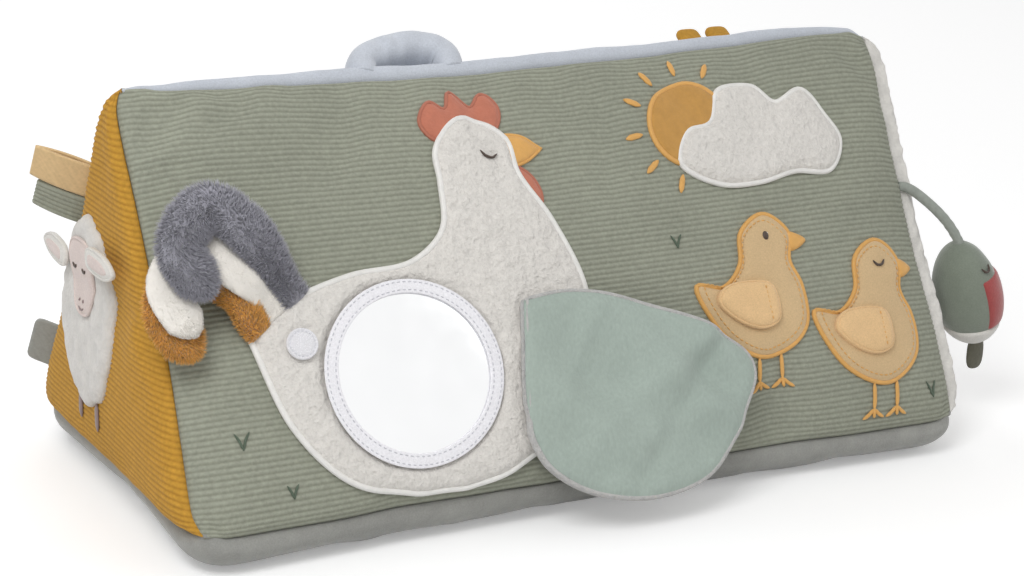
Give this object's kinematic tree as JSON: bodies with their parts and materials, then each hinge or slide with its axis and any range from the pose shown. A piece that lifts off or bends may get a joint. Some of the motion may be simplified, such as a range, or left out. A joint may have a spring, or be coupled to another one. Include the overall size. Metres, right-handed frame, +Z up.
{
  "type": "soft activity triangle",
  "caption": "Stuffed three-sided play cushion for babies with a flap-covered mirror, loose plush feathers, small loose wings, ribbon tabs and a little bird on a cord.",
  "frame": {"origin": "on the floor under the middle of the base panel", "axes": "+X along the length to the right of someone facing the mirror side, the mirror side faces -Y and leans back, +Z up"},
  "size_m": [0.4215, 0.2049, 0.1822],
  "materials": {
    "filling": "loose polyester wadding",
    "corduroy_sage": "ribbed corduroy",
    "corduroy_ochre": "ribbed corduroy",
    "fleece_white": "short curly teddy fleece",
    "velour_blue": "short velour",
    "velour_grey": "short velour",
    "foam": "soft foam",
    "mirror_film": "silvered acrylic sheet",
    "ring_cloth": "stitched white ribbon",
    "felt_coral": "felt",
    "felt_yellow": "felt",
    "hook_tape": "hook tape",
    "crinkle_film": "thin crackling film",
    "jersey_mint": "smooth jersey",
    "plush_ochre": "long plush pile",
    "plush_cream": "long plush pile",
    "plush_grey": "long plush pile",
    "cloth_straw": "brushed jersey",
    "cloth_peach": "brushed jersey, lightly padded",
    "felt_amber": "felt",
    "cloth_pink": "brushed jersey",
    "ribbon_ochre": "woven cotton ribbon",
    "label_grey": "plain woven label",
    "cord_grey": "round fabric cord",
    "plush_green": "short plush",
    "plush_red": "short plush",
    "plush_white": "short plush",
    "felt_dark": "felt"
  },
  "bodies": {
    "cushion": {"stuffing_core": "filling", "front_panel": "corduroy_sage", "left_end_panel": "corduroy_ochre", "right_end_panel": "fleece_white", "hen_patch": "fleece_white", "cloud_patch": "fleece_white", "sheep_patch": "fleece_white", "rear_panel": "velour_blue", "rear_loop": "velour_blue", "base_panel": "velour_grey", "mirror_backing": "foam", "mirror_disc": "mirror_film", "mirror_ring": "ring_cloth", "hen_comb": "felt_coral", "hen_wattle": "felt_coral", "hen_beak": "felt_yellow", "closure_dot": "hook_tape", "chick_a_body": "cloth_straw", "chick_b_body": "cloth_straw", "sun_disc": "felt_amber", "sheep_face": "cloth_pink"},
    "wing_flap": {"flap_fleece": "fleece_white", "flap_crinkle_film": "crinkle_film", "flap_lining": "jersey_mint"},
    "plume_ochre": {"plume_ochre": "plush_ochre"},
    "plume_cream": {"plume_cream": "plush_cream"},
    "plume_grey": {"plume_grey": "plush_grey"},
    "chick_a_wing": {"chick_a_wing": "cloth_peach"},
    "chick_b_wing": {"chick_b_wing": "cloth_peach"},
    "sheep_ear_front": {"sheep_ear_front": "fleece_white"},
    "sheep_ear_rear": {"sheep_ear_rear": "cloth_pink"},
    "ribbon_tab_ochre": {"ribbon_tab_ochre": "ribbon_ochre"},
    "ribbon_tab_sage": {"ribbon_tab_sage": "corduroy_sage"},
    "side_label": {"side_label": "label_grey"},
    "bird_cord": {"bird_cord": "cord_grey"},
    "bird": {"bird_back": "plush_green", "bird_breast": "plush_red", "bird_belly": "plush_white", "bird_tail": "felt_dark"},
    "rear_tab_left": {"rear_tab_left": "ribbon_ochre"},
    "rear_tab_right": {"rear_tab_right": "ribbon_ochre"}
  },
  "joints": [
    {"name": "wing_flap_fold", "type": "hinge", "parent": "cushion", "child": "wing_flap", "pos_m": [-0.03582, -0.07885, 0.06533], "axis": [-0.1651, -0.4814, -0.8608], "range_deg": [0, 172]},
    {"name": "plume_ochre_lift", "type": "hinge", "parent": "cushion", "child": "plume_ochre", "pos_m": [-0.1465, -0.06496, 0.09184], "axis": [0.8653, 0.2506, 0.4341], "range_deg": [0, 35]},
    {"name": "plume_cream_lift", "type": "hinge", "parent": "plume_ochre", "child": "plume_cream", "pos_m": [-0.137, -0.0622, 0.0966], "axis": [0.8653, 0.2506, 0.4341], "range_deg": [0, 25]},
    {"name": "plume_grey_lift", "type": "hinge", "parent": "plume_cream", "child": "plume_grey", "pos_m": [-0.1265, -0.0596, 0.1011], "axis": [0.9285, 0.1856, 0.3215], "range_deg": [0, 25]},
    {"name": "chick_a_wing_lift", "type": "hinge", "parent": "cushion", "child": "chick_a_wing", "pos_m": [0.08867, -0.07092, 0.07479], "axis": [-0.0059, 0.4952, 0.8688], "range_deg": [0, 120]},
    {"name": "chick_b_wing_lift", "type": "hinge", "parent": "cushion", "child": "chick_b_wing", "pos_m": [0.14337, -0.07866, 0.05903], "axis": [-0.0008, 0.4828, 0.8757], "range_deg": [0, 120]},
    {"name": "sheep_ear_front_lift", "type": "hinge", "parent": "cushion", "child": "sheep_ear_front", "pos_m": [-0.18712, -0.00096, 0.10569], "axis": [0.0266, -0.0001, -0.9996], "range_deg": [0, 70]},
    {"name": "sheep_ear_rear_lift", "type": "hinge", "parent": "cushion", "child": "sheep_ear_rear", "pos_m": [-0.18679, 0.03091, 0.09817], "axis": [0.0326, -0.0027, 0.9995], "range_deg": [0, 60]},
    {"name": "ribbon_tab_ochre_bend", "type": "hinge", "parent": "cushion", "child": "ribbon_tab_ochre", "pos_m": [-0.17411, 0.02739, 0.12546], "axis": [-0.0345, -0.4962, 0.8675], "range_deg": [-25, 25], "stiffness_Nm_per_rad": 0.002},
    {"name": "ribbon_tab_sage_bend", "type": "hinge", "parent": "cushion", "child": "ribbon_tab_sage", "pos_m": [-0.17367, 0.03585, 0.11067], "axis": [-0.0179, -0.4964, 0.8679], "range_deg": [-25, 25], "stiffness_Nm_per_rad": 0.002},
    {"name": "side_label_bend", "type": "hinge", "parent": "cushion", "child": "side_label", "pos_m": [-0.17531, 0.07533, 0.04165], "axis": [0.0583, -0.4957, 0.8666], "range_deg": [-25, 25], "stiffness_Nm_per_rad": 0.001},
    {"name": "bird_cord_swing", "type": "hinge", "parent": "cushion", "child": "bird_cord", "pos_m": [0.1735, -0.0385, 0.1125], "axis": [0, -1, 0], "range_deg": [0, 65]},
    {"name": "bird_sway", "type": "hinge", "parent": "bird_cord", "child": "bird", "pos_m": [0.20111, -0.05, 0.08403], "axis": [1, 0, 0], "range_deg": [-25, 25]},
    {"name": "rear_tab_left_bend", "type": "hinge", "parent": "cushion", "child": "rear_tab_left", "pos_m": [0.09385, 0.01136, 0.16849], "axis": [-1, 0, 0], "range_deg": [-15, 15], "stiffness_Nm_per_rad": 0.002},
    {"name": "rear_tab_right_bend", "type": "hinge", "parent": "cushion", "child": "rear_tab_right", "pos_m": [0.10874, 0.0112, 0.16878], "axis": [-1, 0, 0], "range_deg": [-15, 15], "stiffness_Nm_per_rad": 0.002}
  ]
}
